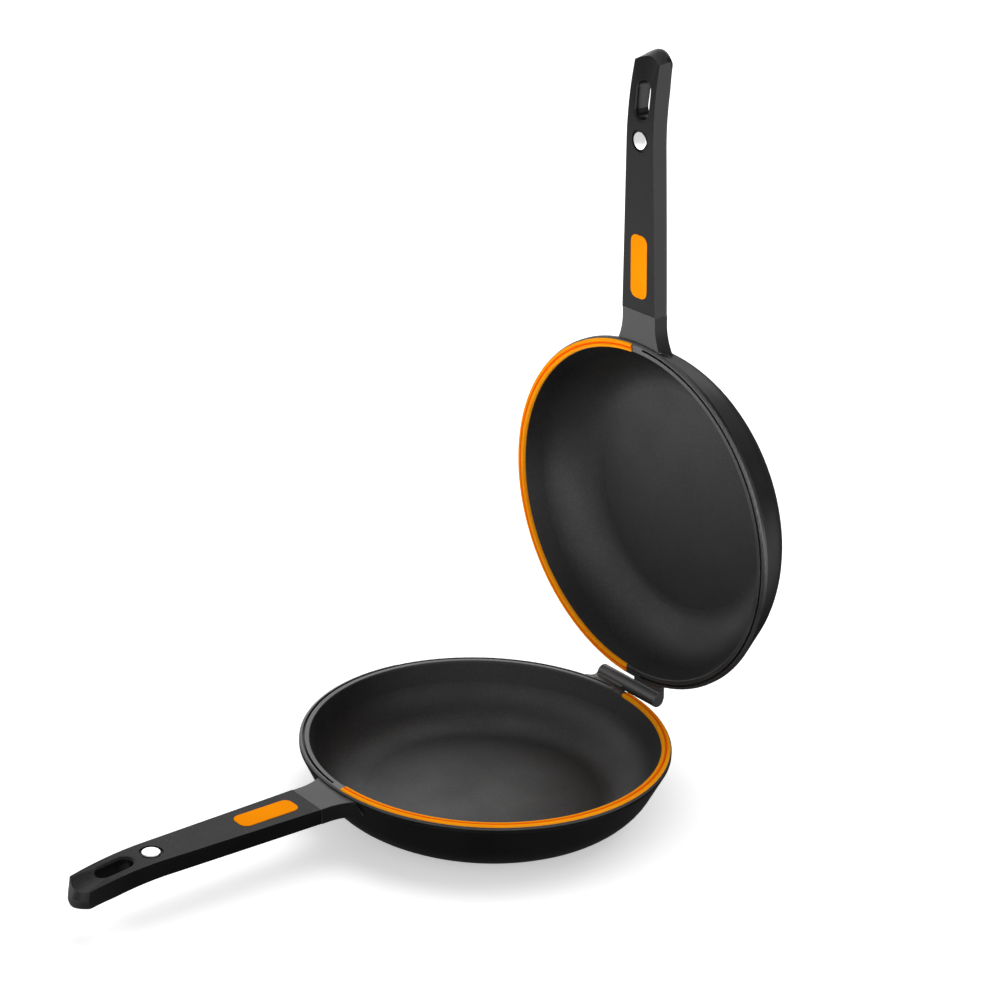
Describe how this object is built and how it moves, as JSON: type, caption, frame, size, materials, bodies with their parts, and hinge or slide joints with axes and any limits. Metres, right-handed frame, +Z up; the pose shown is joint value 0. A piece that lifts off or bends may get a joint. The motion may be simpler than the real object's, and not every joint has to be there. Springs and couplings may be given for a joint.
{
  "type": "double sided flip pan",
  "caption": "Two like round frying pans hinged rim to rim, each with a long handle and half of the rim seal, standing open as a book.",
  "frame": {"origin": "centre of the lower pan's flat base, in the plane that it stands on", "axes": "+Z up, square to the base; +X from the lower handle to the hinge, which lies along Y"},
  "size_m": [0.4824, 0.2436, 0.4862],
  "materials": {
    "coated_casting": "black non-stick coating, satin outside and matt inside, bare dark grey satin on the rim lips and the hinge web",
    "base_steel": "brushed, with rings of holes filled by the casting",
    "orange_silicone": "orange silicone, semi-matt",
    "neck_casting": "dark grey satin",
    "grip_plastic": "black heat-proof plastic, fine matt face and glossier sides",
    "orange_plastic": "orange, smooth, bare",
    "polished_magnet": "nickel plated and polished",
    "screw_steel": "stainless steel",
    "hinge_steel": "stainless steel, ground"
  },
  "bodies": {
    "lower_half": {"lower_pan": "coated_casting", "lower_base_disc": "base_steel", "lower_rim_seal": "orange_silicone", "lower_neck": "neck_casting", "lower_grip": "grip_plastic", "lower_insert": "orange_plastic", "lower_magnet": "polished_magnet", "lower_grip_screws": "screw_steel", "lower_screw_washers": "screw_steel", "lower_hinge_bush": "hinge_steel", "hinge_pin": "hinge_steel"},
    "upper_half": {"upper_pan": "coated_casting", "upper_base_disc": "base_steel", "upper_rim_seal": "orange_silicone", "upper_neck": "neck_casting", "upper_grip": "grip_plastic", "upper_insert": "orange_plastic", "upper_magnet": "polished_magnet", "upper_grip_screws": "screw_steel", "upper_screw_washers": "screw_steel", "upper_hinge_bush": "hinge_steel"}
  },
  "joints": [
    {"name": "pan_hinge", "type": "hinge", "parent": "lower_half", "child": "upper_half", "pos_m": [0.1289, 0, 0.0447], "axis": [0, 1, 0], "range_deg": [-85.9, 0]}
  ]
}
